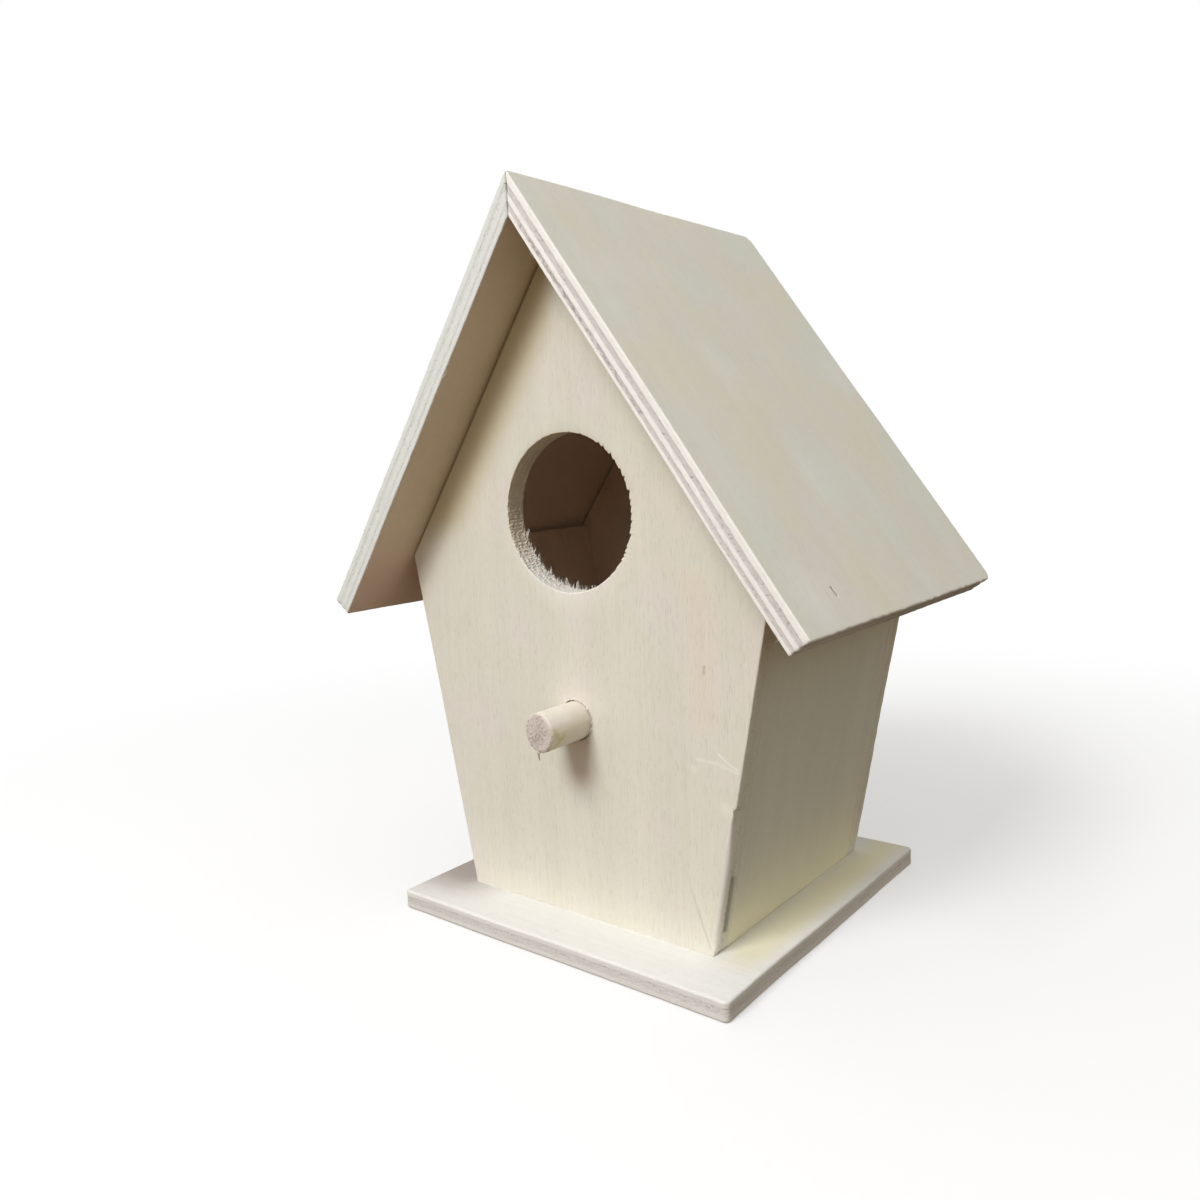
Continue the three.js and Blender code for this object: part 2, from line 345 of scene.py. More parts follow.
def ring_surface(name, rings, closed=False):
    """A mesh object from rings of points (rings, columns, 3). A surface that isn't closed along
    its rings has single points for its first and last ring, where fans close it."""
    count, columns = rings.shape[:2]
    if closed:
        return mesh_object(name, rings.reshape(-1, 3), ring_quads(count, columns, True).tolist())
    body = rings[1:-1].reshape(-1, 3)
    column = np.arange(columns)
    faces = ring_quads(count - 2, columns, False).tolist()
    faces += fan(len(body), column) + fan(len(body) + 1, column[::-1] + len(body) - columns)
    return mesh_object(name, np.concatenate([body, rings[[0, -1]].mean(axis=1)]), faces)


def mesh_object(name, vertices, faces):
    """A smooth mesh object at the origin with its faces pointing outwards."""
    mesh = bpy.data.meshes.new(name)
    mesh.from_pydata(np.asarray(vertices).tolist(), [], faces)
    shell = bmesh.new()
    shell.from_mesh(mesh)
    bmesh.ops.recalc_face_normals(shell, faces=shell.faces)
    shell.to_mesh(mesh)
    shell.free()
    mesh.shade_smooth()
    piece = bpy.data.objects.new(name, mesh)
    bpy.context.scene.collection.objects.link(piece)
    return piece


def fibre_mesh(name, roots, directions, lengths, widths, bends):
    """Tapered wood fibres in one mesh. A fibre's centre line is root + length * (t * direction
    + t squared * bend), and its three-sided section narrows as the root of 1 - t."""
    stations, sides = 5, 3
    t = np.linspace(0, 1, stations)[None, :, None]
    length = lengths[:, None, None]
    line = roots[:, None, :] + length * (t * directions[:, None, :] + t**2 * bends[:, None, :])
    side_axis = unit(np.cross(directions, np.array([0.31, 0.83, 0.47])))
    other_axis = np.cross(directions, side_axis)
    angle = 2 * math.pi * np.arange(sides)[None, :, None] / sides
    ring = np.cos(angle) * side_axis[:, None, :] + 0.6 * np.sin(angle) * other_axis[:, None, :]
    radius = widths[:, None, None, None] / 2 * np.sqrt(1 - 0.97 * t[..., None])
    points = line[:, :, None, :] + radius * ring[:, None, :, :]
    last = (stations - 1) * sides
    caps = np.array([[2, 1, 0], [last, last + 1, last + 2]])
    offset = (np.arange(len(roots)) * stations * sides)[:, None, None]
    faces = (ring_quads(stations, sides, False) + offset).reshape(-1, 4).tolist()
    return mesh_object(name, points.reshape(-1, 3), faces + (caps + offset).reshape(-1, 3).tolist())


# ---------------------------------------------------------------- shader writing


class Wire:
    """A socket in a node tree. Arithmetic on wires adds the Math nodes that work it out."""

    def __init__(self, tree, socket):
        self.tree = tree
        self.socket = socket

    def maths(self, operation, *values):
        return add_node(self.tree, "ShaderNodeMath", {"operation": operation}, dict(enumerate(values)))

    def __add__(self, other):
        return self.maths("ADD", self, other)

    def __sub__(self, other):
        return self.maths("SUBTRACT", self, other)

    def __rsub__(self, other):
        return self.maths("SUBTRACT", other, self)

    def __mul__(self, other):
        return self.maths("MULTIPLY", self, other)

    def __truediv__(self, other):
        return self.maths("DIVIDE", self, other)

    __radd__ = __add__
    __rmul__ = __mul__

    def above(self, edge, softness):
        """0 below the edge, 1 above it, with a soft step between."""
        values = (self, edge - softness, edge + softness, 0.0, 1.0)
        settings = {"interpolation_type": "SMOOTHSTEP"}
        return add_node(self.tree, "ShaderNodeMapRange", settings, dict(enumerate(values)))

    def below(self, edge, softness):
        return 1 - self.above(edge, softness)

    def greatest(self, other):
        return self.maths("MAXIMUM", self, other)

    def limited(self):
        return self.maths("MINIMUM", self.maths("MAXIMUM", self, 0.0), 1.0)

    def length_with(self, other):
        """The root of the sum of two squares."""
        return self.maths("SQRT", self * self + other * other)


def feed(tree, socket, value):
    """Links a wire to a socket, or sets the socket to a plain value."""
    if isinstance(value, Wire):
        tree.links.new(value.socket, socket)
    elif socket.type == "RGBA" and len(value) == 3:
        socket.default_value = (*value, 1.0)
    else:
        socket.default_value = value


def add_node(tree, kind, settings=None, sockets=None, output=0):
    """Adds a node, makes its settings, feeds its sockets and returns one of its outputs."""
    node = tree.nodes.new(kind)
    settings = dict(settings or {})
    stops = settings.pop("stops", ())
    while stops and len(node.color_ramp.elements) < len(stops):
        node.color_ramp.elements.new(1.0)
    for index, (position, colour) in enumerate(stops):
        node.color_ramp.elements[index].position = position
        node.color_ramp.elements[index].color = (*colour, 1.0)
    for key, value in settings.items():
        setattr(node, key, value)
    for key, value in (sockets or {}).items():
        feed(tree, node.inputs[key], value)
    return Wire(tree, node.outputs[output])


class Finish:
    """One procedural material, ready for its base colour, roughness and bump."""

    def __init__(self, name, specular=0.3):
        self.material = bpy.data.materials.new(name)
        self.material.use_nodes = True
        self.tree = self.material.node_tree
        self.shader = self.tree.nodes["Principled BSDF"]
        self.shader.inputs["Specular IOR Level"].default_value = specular

    def node(self, kind, settings=None, sockets=None, output=0):
        return add_node(self.tree, kind, settings, sockets, output)

    def place(self):
        """Object coordinates."""
        return self.node("ShaderNodeTexCoord", output="Object")

    def place_in(self, sheet):
        """Object coordinates turned into a sheet's own frame: millimetres across, along and
        above its outer face."""
        turn = Matrix([sheet.across, sheet.along, sheet.normal])
        return self.node("ShaderNodeMapping", sockets={
            "Vector": self.place(),
            "Scale": (1 / MM,) * 3,
            "Rotation": turn.to_euler(),
            "Location": -(turn @ Vector(sheet.origin)) / MM,
        })

    def parts(self, vector):
        """The three numbers of a vector."""
        first = self.node("ShaderNodeSeparateXYZ", sockets={0: vector})
        return [Wire(self.tree, output) for output in first.socket.node.outputs]

    def together(self, x, y, z):
        return self.node("ShaderNodeCombineXYZ", sockets={"X": x, "Y": y, "Z": z})

    def noise(self, vector, sizes, detail=2.0, roughness=0.5, shift=0.0):
        """Noise whose patches measure the given sizes along the vector's three directions."""
        stretched = self.node("ShaderNodeMapping", sockets={
            "Vector": vector,
            "Scale": tuple(1 / size for size in sizes),
            "Location": (shift, shift * 0.7, shift * 1.3),
        })
        sockets = {"Vector": stretched, "Scale": 1.0, "Detail": detail, "Roughness": roughness}
        return self.node("ShaderNodeTexNoise", sockets=sockets)

    def mixed(self, factor, first, second):
        """A colour between two colours."""
        return self.node("ShaderNodeMix", {"data_type": "RGBA"}, {0: factor, 6: first, 7: second}, 2)

    def tinted(self, colour, *layers):
        """A colour under layers, each a strength and a tint."""
        for strength, tint in layers:
            colour = self.mixed(strength, colour, tint)
        return colour

    def dimmed(self, colour, factor):
        """A colour times a number."""
        sockets = {"Vector": colour, "Scale": factor}
        return self.node("ShaderNodeVectorMath", {"operation": "SCALE"}, sockets)

    def stroke(self, x, y, start, end, width, softness=None):
        """A soft mask that is 1 along the straight stroke between two places in millimetres."""
        run = (end[0] - start[0], end[1] - start[1])
        square = run[0] ** 2 + run[1] ** 2
        from_x, from_y = x - start[0], y - start[1]
        along = ((from_x * run[0] + from_y * run[1]) / square).limited()
        miss = (from_x - along * run[0]).length_with(from_y - along * run[1])
        return miss.below(width / 2, softness or width / 2)

    def bent_stroke(self, x, y, places, width, softness=None):
        """A stroke through several places."""
        mask = self.stroke(x, y, *places[:2], width, softness)
        for start, end in zip(places[1:], places[2:]):
            mask = mask.greatest(self.stroke(x, y, start, end, width, softness))
        return mask

    def done(self, colour, roughness, height):
        """Feeds the shader. Height is in millimetres."""
        bump = self.node("ShaderNodeBump", sockets={"Strength": 1.0, "Distance": MM, "Height": height})
        for name, value in (("Base Color", colour), ("Roughness", roughness), ("Normal", bump)):
            feed(self.tree, self.shader.inputs[name], value)
        return self.material


def ply_stops(borders):
    """Ramp stops across a sheet's thickness, black in the face plies and white in the cross
    plies, with a narrow blend at each glue line. Borders are shares of the thickness."""
    blend = 0.012
    edges = [-blend, *borders, 1.0 + blend]
    stops = []
    for index, (start, end) in enumerate(zip(edges, edges[1:])):
        stops += [(place, (index % 2,) * 3) for place in (start + blend, end - blend)]
    return stops


def plywood(name, node, kind, borders, grain_across=False, details=None, shift=0.0, streak_depth=0.11):
    """Unfinished plywood: the colour across the thickness follows the veneers, and the faces
    have faint streaks, broad bands, pores and blotches. The grain is solid noise stretched along
    its veneer, so an end cut shows dots and a side cut shows lines. Kind names the tones of the
    face, its pinker and greener patches, the back, and the cut face and cross plies."""
    tones = [getattr(bpy.context.scene.birdhouse.tones, tone) for tone in kind.split()]
    face, pinker, greener, back, face_ply, cross_ply = tones
    finish, sheet = Finish(name), SHEETS[node]
    across, along, height = finish.parts(finish.place_in(sheet))
    if grain_across:
        across, along = along, across
    depth = 0.0 - height
    place = finish.together(across, along, depth)
    turned = finish.together(along, across, depth)

    streaks = finish.noise(place, (0.55, 16.0, 0.4), 3.0, 0.6, shift) - 0.5
    bands = finish.noise(place, (5.0, 90.0, 5.0), 2.0, 0.5, shift + 3) - 0.5
    blotches = finish.noise(place, (11.0, 15.0, 11.0), 3.0, 0.55, shift + 7).above(0.52, 0.14)
    fuzz = finish.noise(place, (0.16, 0.9, 0.16), 3.0, 0.65, shift + 11) - 0.5
    cross = finish.noise(turned, (0.22, 7.0, 0.2), 3.0, 0.65, shift + 17) - 0.5
    pores = finish.noise(place, (0.13, 1.7, 0.13), 1.0, 0.4, shift + 23).above(0.68, 0.05)
    gaps = finish.noise(turned, (0.5, 1.6, 0.45), 2.0, 0.6, shift + 29).above(0.64, 0.05)
    wobble = (finish.noise(place, (2.5, 9.0, 9.0), 2.0, 0.6, shift + 31) - 0.5) * 0.07
    tints = finish.noise(place, (14.0, 20.0, 14.0), 3.0, 0.55, shift + 41).above(0.52, 0.14)

    skin = sheet.thickness / MM
    inside = depth.above(0.07, 0.06) * depth.below(skin - 0.07, 0.06)
    sockets = {"Fac": depth / skin + wobble}
    in_cross = finish.node("ShaderNodeValToRGB", {"stops": ply_stops(borders)}, sockets)
    cut_tone = finish.mixed(in_cross, face_ply, cross_ply)
    tone = finish.mixed(tints, finish.mixed(blotches, face, pinker), greener)
    tone = finish.mixed(depth.above(skin / 2, 0.2), tone, back)
    tone = finish.mixed(inside, tone, cut_tone)

    in_cross = in_cross * inside
    shade = 1 + (streaks + bands) * streak_depth + fuzz * (inside * 0.15 + 0.10)
    shade = shade + in_cross * (cross * 0.45 - gaps * 0.12) - pores * 0.07
    relief = streaks * 0.02 + fuzz * 0.018 - pores * 0.02
    relief = relief + in_cross * (cross * 0.05 + 0.025 - gaps * 0.06)
    colour = finish.dimmed(tone, shade)
    if details:
        colour, relief = details(finish, colour, relief, across, along, depth)
    return finish.done(colour, 0.74 + fuzz * 0.2, relief)


# ---------------------------------------------------------------- settings


def number_of(name, description, default, low=0.0, **more):
    return bpy.props.FloatProperty(name=name, description=description, default=default, min=low, **more)


def length_of(name, description, millimetres, low=0.0):
    return number_of(name, description, millimetres * MM, low * MM, unit="LENGTH", precision=5)


def angle_of(name, description, degrees):
    return number_of(name, description, math.radians(degrees), -math.pi, subtype="ANGLE")


def tone_of(name, description, default):
    return bpy.props.FloatVectorProperty(
        name=name, description=description, default=default, size=3, subtype="COLOR", min=0, max=1
    )


class SheetSettings(bpy.types.PropertyGroup):
    step: length_of("Grid step", "Spacing of points round a sheet's outline", 0.42, 0.1)
    rounding: length_of("Edge rounding", "Radius of the lightly sanded edges", 0.22, 0.02)
    corner: length_of("Corner rounding", "Radius of a sheet's corners, seen square on", 0.5, 0.05)
    rear_corner: length_of("Rear corner rounding", "Radius of the roof's rubbed rear corners", 1.6, 0.05)
    wander: length_of("Edge wander", "How far a sawn edge strays from a straight line", 0.09)
    waviness: length_of("Face waviness", "How far a face strays from flat", 0.05)
    ply_relief: length_of("Ply relief", "How far the cross plies sit back on a cut edge", 0.06)


class EntranceSettings(bpy.types.PropertyGroup):
    radius: length_of("Radius", "Radius of the entrance hole", SIZES.entrance_radius / MM, 1)
    raggedness: length_of("Raggedness", "Depth of the small tears round the rim", 0.22)
    fibres: bpy.props.IntProperty(
        name="Fibres", description="Torn fibres along the lower left of the bore", default=320, min=0
    )


class PerchSettings(bpy.types.PropertyGroup):
    end_rounding: length_of("End rounding", "Radius of the worn edge round the dowel's end", 0.5, 0.05)
    end_out: length_of("End reach", "How far the middle of the sawn end stands out", 0.4)
    end_skew: number_of("End skew", "How far the end gains reach with each length to the right", 0.16)
    hole_gap: length_of("Hole gap", "Dark gap round the dowel in the front panel", 0.2)


class ToneSettings(bpy.types.PropertyGroup):
    panel: tone_of("Panel", "Face of the front and back panels", (0.75, 0.71, 0.595))
    panel_pink: tone_of("Panel, pinker", "Pinker patches of the panels", (0.76, 0.705, 0.63))
    panel_green: tone_of("Panel, greener", "Greener patches of the panels", (0.735, 0.71, 0.60))
    panel_ply: tone_of("Panel ply", "Cut edge of the panels' and walls' face plies", (0.745, 0.735, 0.625))
    panel_cross_ply: tone_of("Panel cross ply", "Cut edge of their middle ply", (0.73, 0.715, 0.605))
    wall: tone_of("Wall", "Outer face of the side walls", (0.745, 0.745, 0.635))
    roof: tone_of("Roof", "Outer face of the roof slabs", (0.775, 0.74, 0.61))
    roof_pink: tone_of("Roof, pinker", "Pinker patches of the roof", (0.78, 0.74, 0.66))
    roof_grey: tone_of("Roof, greyer", "Grey-green patches of the roof", (0.76, 0.755, 0.68))
    # Part of the underside's brown is painted shade: the slabs' inner faces are made browner because they
    # sit in shade.
    underside: tone_of("Underside", "Inner faces of the roof slabs", (0.72, 0.605, 0.445))
    # Painted light: the inner faces are paler and redder than the outer ones, standing in for light
    # bouncing round the dark inside.
    inside: tone_of("Inside", "Inner faces of the walls and panels", (0.92, 0.75, 0.61))
    base: tone_of("Base", "Top of the base plate", (0.80, 0.785, 0.745))
    base_ply: tone_of("Base ply", "Cut edge of the base's face plies", (0.80, 0.77, 0.72))
    base_cross_ply: tone_of("Base cross ply", "Cut edge of the base's middle ply", (0.73, 0.70, 0.66))
    right_ply: tone_of("Right ply", "Cut edge of the right slab's light plies", (0.91, 0.87, 0.82))
    right_cross_ply: tone_of("Right cross ply", "Cut edge of its dark plies", (0.665, 0.615, 0.59))
    left_ply: tone_of("Left ply", "Cut edge of the left slab's light plies", (0.745, 0.75, 0.70))
    left_cross_ply: tone_of("Left cross ply", "Cut edge of its dark plies", (0.715, 0.715, 0.67))
    fibre: tone_of("Fibre", "Torn fibres", (0.93, 0.89, 0.83))
    splinter: tone_of("Splinter", "Fuzz and splinter of the perch's end", (0.56, 0.47, 0.43))
    dowel: tone_of("Dowel", "Side of the perch", (0.79, 0.735, 0.62))
    dowel_end: tone_of("Dowel end", "Sawn end of the perch", (0.60, 0.52, 0.46))
    steel: tone_of("Steel", "Bare wire of the brads", (0.45, 0.46, 0.47))


class StudioSettings(bpy.types.PropertyGroup):
    azimuth: angle_of("Azimuth", "Direction of view round the house", 38.839)
    elevation: angle_of("Elevation", "Height of view above the horizon", 7.969)
    roll: angle_of("Roll", "Turn of the camera about its view", -2.416)
    place: bpy.props.FloatVectorProperty(
        name="Camera place", description="Where the camera stands",
        default=(0.10370, -0.14541, 0.07854), size=3, subtype="TRANSLATION", unit="LENGTH",
    )
    lens: number_of("Lens", "Focal length on a 36 mm sensor, in millimetres", 30.273, 1.0)
    sky: number_of("Sky", "Brightness of the soft light from above", 0.6)
    key: number_of("Key light", "Power of the large light up and to the left", 5.1, unit="POWER")


def group_of(settings):
    return bpy.props.PointerProperty(type=settings)


class BirdhouseSettings(bpy.types.PropertyGroup):
    sheets: group_of(SheetSettings)
    entrance: group_of(EntranceSettings)
    perch: group_of(PerchSettings)
    tones: group_of(ToneSettings)
    studio: group_of(StudioSettings)


# ---------------------------------------------------------------- operators


def dressed(piece, material, node=None):
    """Gives a piece its material, lets it ride on the house and, where a node is named, stand
    for that CAD node."""
    piece.data.materials.append(material)
    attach(piece, "root")
    if node:
        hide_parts(node)


def gable_corners():
    """The five corners of the front and back panels, from the lower left round to the right."""
    foot, shoulder = (SIZES.foot_half, SIZES.foot_z), (SIZES.shoulder_half, SIZES.shoulder_z)
    return [(-foot[0], foot[1]), foot, shoulder, (0, SIZES.gable_z), (-shoulder[0], shoulder[1])]


def box_corners(low, high, bottom, top):
    """The corners of an upright rectangle."""
    return [(low, bottom), (high, bottom), (high, top), (low, top)]


def sheet_piece(
    node, corners, radius, middle, seeds, row_counts, borders=THREE_PLIES, wander=1.0, notch=None,
    relief=1.0, torn=None, waviness=1.0, fineness=1.0, rounding=None, rim_rounding=0.0, bevel=None,
    **shape
):
    """A sheet sawn to its corners: a wandering outline, worn plies, bevelled ends and wavy faces,
    one seed for each. Wander, relief, waviness and fineness (of the step) multiply the sheets'
    settings; bevel holds the places and angles of the ends; shape goes on to sheet_grid."""
    sheets = bpy.context.scene.birdhouse.sheets
    sheet = SHEETS[node]
    outline = rounded_outline(corners, radius, sheets.step * fineness)
    outline = wandering(outline, seeds[0], sheets.wander * wander, notch)
    rows = section(sheet.thickness, rounding or sheets.rounding, *row_counts, rim_rounding)
    worn = ply_relief(outline, sheet.thickness, borders, sheets.ply_relief * relief, seeds[1], torn)
    grid = sheet_grid(outline, rows, middle, worn, **shape)
    if bevel:
        grid = bevelled(grid, *bevel)
    grid = wavy(grid, seeds[2], sheets.waviness * waviness)
    return ring_surface(f"{node}_wood", sheet.place(grid), rim_rounding > 0)


class BIRDHOUSE_OT_base_plate(bpy.types.Operator):
    """Base plate: a square sheet of three plies with softly rounded corners"""

    bl_idname = "birdhouse.base_plate"
    bl_label = "Base Plate"

    def execute(self, context):
        low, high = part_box("base_plate")
        half_x, half_y = (high.x - low.x) / 2, (high.y - low.y) / 2
        piece = sheet_piece(
            "base_plate", box_corners(-half_x, half_x, -half_y, half_y), 0.8 * MM, (0, 0),
            (11, 13, 0), (20, 22), relief=0.6, waviness=0.0, rounding=0.35 * MM,
        )
        kind = "base base base base base_ply base_cross_ply"
        material = plywood("base plywood", "base_plate", kind, THREE_PLIES, True, self.ledge_shade_and_bounce, 1.0)
        dressed(piece, material, "base_plate")
        return {"FINISHED"}

    @staticmethod
    def ledge_shade_and_bounce(finish, colour, relief, across, along, depth):
        """Painted shade and light: the ledge beside the left wall is darkened to a duller brown,
        most of it behind the front panel, and the one beside the right wall is tinted yellower,
        as painted bounce light off that wall."""
        # Painted shade: the left ledge is dulled to brown, most of it behind the front panel.
        dull = along.below(-22.0, 7.0) * across.above(-28.2, 7.0) * across.below(2.0, 20.0)
        # Painted bounce light: the right ledge beside the wall is tinted yellower.
        yellow = along.above(26.5, 2.5) * along.below(32.0, 2.0) * across.above(-23.0, 5.0)
        layers = (yellow * 0.9, (0.82, 0.77, 0.56)), (dull * 0.56, (0.11, 0.02, 0.0))
        return finish.tinted(colour, *layers), relief


class BIRDHOUSE_OT_front_panel(bpy.types.Operator):
    """Front panel: a gabled sheet round a ragged entrance, bored for the perch"""

    bl_idname = "birdhouse.front_panel"
    bl_label = "Front Panel"

    def execute(self, context):
        settings = context.scene.birdhouse
        entrance = settings.entrance

        def rim_relief(spoke, depth):
            """Moves the bore outwards: saw-toothed tears 1.2 mm apart, deepest at the outer face
            and on the right side, and coarse waves all through, most on the lower left."""
            angle = np.arctan2(spoke[..., 1], spoke[..., 0])
            place = angle * entrance.radius / (1.2 * MM) + 0.8 * ripple(25, 1.5, angle * 4, 0 * depth)
            size = np.clip(0.6 + 0.6 * ripple(26, 0.5, np.floor(place), 0 * depth), 0.1, 1.4)
            tooth = (place % 1.0) ** 1.5 * size * np.exp(-depth / (1.8 * MM))
            right_side = 0.15 + 0.85 * smooth_step(np.cos(angle - 0.3), 0.3, 0.9)
            waves = ripple(27, 0.5 * MM, angle * entrance.radius * 0.8, depth * 0.6)
            lower_left = np.clip(-np.cos(angle - 0.7), 0, 1)
            return entrance.raggedness * (2.8 * tooth * right_side + 0.32 * waves * (0.2 + lower_left))

        piece = sheet_piece(
            "front_panel", gable_corners(), 0.3 * MM, SIZES.entrance, (21, 23, 29), (24, 20),
            fineness=0.8, wander=0.6, torn=self.worn_edge, waviness=0.6, rim_rounding=0.16 * MM,
            ease=self.eased, inner=0.2, hole_radius=entrance.radius, rim_relief=rim_relief,
        )
        self.bore_for_perch(piece, settings.perch.hole_gap)
        material = plywood(
            "panel plywood", "front_panel", PANEL_TONES, THREE_PLIES, False, self.marks, 2.0
        )
        dressed(piece, material, "front_panel")
        return {"FINISHED"}

    @staticmethod
    def eased(points):
        """The edge is nearly sharp along the foot and worn round low on the right."""
        x, z = points.T
        worn = smooth_step(x, 20 * MM, 24 * MM) * (1 - smooth_step(z, 17 * MM, 26 * MM))
        on_foot = 1 - smooth_step(z, SIZES.foot_z, SIZES.foot_z + 1.5 * MM)
        return (1 + 3.2 * worn) * (1 - on_foot) + 0.1 * on_foot

    @staticmethod
    def worn_edge(points, depth, noise):
        """Damage to the right edge: a notch 0.45 mm deep at 26.8 mm up with a step of 0.3 mm below
        it, both only in the outer half, and a groove up to 0.8 mm deep along the foot."""
        right = smooth_step(points[..., 0], 24.8 * MM, 25.4 * MM)
        z = points[..., 1]
        notch = 0.45 * np.exp(-(((z - 26.8 * MM) / (0.3 * MM)) ** 2))
        step = 0.3 * (1 - smooth_step(z, 26.2 * MM, 26.9 * MM)) * smooth_step(z, 18 * MM, 25 * MM)
        outer_half = 1 - smooth_step(depth, 0.9 * MM, 2.0 * MM)
        ragged = z + 0.3 * MM * noise
        low = smooth_step(ragged, 4.5 * MM, 6.5 * MM) * (1 - smooth_step(ragged, 12 * MM, 18 * MM))
        groove = 0.8 * low * np.exp(-(((depth - 2.5 * MM) / (0.5 * MM)) ** 4))
        return MM * right * ((notch + step) * outer_half + groove)

    @staticmethod
    def bore_for_perch(piece, gap):
        """Cuts the perch's hole with a round cutter: radius = dowel radius + gap."""
        radius = SIZES.perch_radius + gap
        angle = np.linspace(0, 2 * math.pi, 64, endpoint=False)
        wobble = radius + 0.04 * MM * ripple(31, 1.1 * MM, angle * radius, angle * 0)
        ring = SIZES.perch_middle + wobble[:, None] * circle(angle)
        reach = 3 * MM
        near, far = SIZES.front_y - reach, SIZES.front_y + SIZES.panel_thickness + reach
        ends = [ring + np.array([0, y, 0]) for y in (near, far)]
        caps = [0 * end + end.mean(axis=0) for end in ends]
        cutter = ring_surface("perch_cutter", np.stack([caps[0], *ends, caps[1]]))
        cut = piece.modifiers.new("perch hole", "BOOLEAN")
        cut.operation = "DIFFERENCE"
        cut.solver = "EXACT"
        cut.object = cutter
        shaped = piece.evaluated_get(bpy.context.evaluated_depsgraph_get())
        mesh = bpy.data.meshes.new_from_object(shaped)
        piece.modifiers.clear()
        old = piece.data
        piece.data = mesh
        mesh.set_sharp_from_angle(angle=math.radians(50))
        bpy.data.meshes.remove(old)
        bpy.data.objects.remove(cutter)

    @staticmethod
    def marks(finish, colour, relief, across, along, depth):
        """Two pale scratches and a bruise near the right edge, a brown fleck in a pink streak,
        a grey smudge, and painted light and shade: warm brown shade under the left slab, painted
        paler where that band runs out low on the left, a warm painted shadow under the perch, a pale
        fuzzy bore painted paler on its lower, upward side and olive at its top, a painted highlight
        along the worn lower right edge, and near black painted in the open joint as its shade."""

        def drawn(width, softness, *places):
            return finish.bent_stroke(across, along, places, width, softness)

        on_face = depth.below(0.3, 0.1)
        scratches = drawn(0.3, 0.25, (27.2, 35.2), (28.6, 34.1), (30.2, 33.4)) * 0.7
        scratches = scratches.greatest(drawn(0.4, None, (27.1, 35.25), (27.3, 35.1)))
        faint = drawn(0.5, None, (23.4, 33.8), (26.6, 33.7), (30.2, 32.8))
        faint = faint.greatest(drawn(0.8, None, (22.6, 32.3), (22.7, 32.1)))
        bruise = drawn(1.6, None, (28.0, 27.3), (29.2, 26.3))
        pale = (scratches * 0.8).greatest(faint * 0.4).greatest(bruise * 0.35)
        fleck = drawn(0.4, None, (24.9, 46.9), (25.0, 47.9)) * on_face
        blush = drawn(3.0, 2.5, (24.4, 40.0), (23.6, 60.0))
        smudge = drawn(2.0, 2.0, (-25.4, 50.5), (-24.2, 52.5))
        # Painted shadow: a warm patch below the perch, where its shadow falls.
        painted_perch_shadow = drawn(4.5, 1.5, (0.2, 33.0), (0.4, 28.0))

        rise, run = math.cos(SIZES.pitch), math.sin(SIZES.pitch)
        under_eaves = across * run + (SIZES.gable_z / MM - along) * rise
        # Painted shade: the band under the left slab's overhang, warm brown high up; lower down it is
        # painted paler, as painted light.
        shaded = under_eaves.below(6.5, 3.5) * across.below(-1.0, 2.0) * on_face
        upper = along.above(66.5, 3.5)
        from_x, from_z = across - SIZES.entrance[0] / MM, along - SIZES.entrance[1] / MM
        in_bore = from_x.length_with(from_z).below(SIZES.entrance_radius / MM + 0.2, 0.15)
        # Painted light and shade: the bore's lower, upward-facing side is painted pale and its top olive.
        lower = (from_z - from_x * 0.2).below(-4.0, 5.0)
        painted_bore_light = finish.mixed(lower, (0.78, 0.68, 0.50), (0.86, 0.82, 0.76))
        slope = math.tan(SIZES.wall_lean)
        from_edge = across - (along - SIZES.foot_z / MM) * slope - SIZES.foot_half / MM
        on_edge = from_edge.above(-0.7, 0.4)
        # Painted highlight: a pale strip along the worn, rounded lower right edge.
        painted_edge_highlight = finish.stroke(depth, along, (0.5, 5.0), (0.2, 24.0), 1.7, 0.7) * on_edge
        # Painted shade: near black in the open joint behind the lower right edge, over the carved groove.
        joint = finish.stroke(depth, along, (2.6, 6.5), (2.5, 15.0), 1.0, 0.4) * on_edge
        colour = finish.tinted(
            colour,
            (pale * on_face, (0.93, 0.89, 0.80)),
            (blush * on_face * 0.35, (0.80, 0.62, 0.50)),
            (fleck * 0.45, (0.45, 0.27, 0.15)),
            (smudge * on_face * 0.15, (0.5, 0.52, 0.45)),
            (shaded * upper * 0.8, (0.71, 0.605, 0.40)),
            (shaded * (1 - upper) * 0.5, (0.92, 0.89, 0.77)),
            (painted_perch_shadow * on_face * 0.6, (0.75, 0.60, 0.49)),
            (in_bore * 0.8, painted_bore_light),
            (painted_edge_highlight * 0.6, (0.95, 0.89, 0.84)),
            (joint * 0.8, (0.17, 0.18, 0.11)),
        )
        return colour, relief - scratches * on_face * 0.05 - fleck * 0.04


class BIRDHOUSE_OT_back_panel(bpy.types.Operator):
    """Back panel: the plain gabled sheet behind"""

    bl_idname = "birdhouse.back_panel"
    bl_label = "Back Panel"

    def execute(self, context):
        piece = sheet_piece(
            "back_panel", gable_corners(), 0.4 * MM, SIZES.entrance, (41, 43, 45), (20, 20),
            wander=1.3, inner=0.2,
        )
        material = plywood("back plywood", "back_panel", PANEL_TONES, THREE_PLIES, shift=5.0)
        dressed(piece, material, "back_panel")
        return {"FINISHED"}


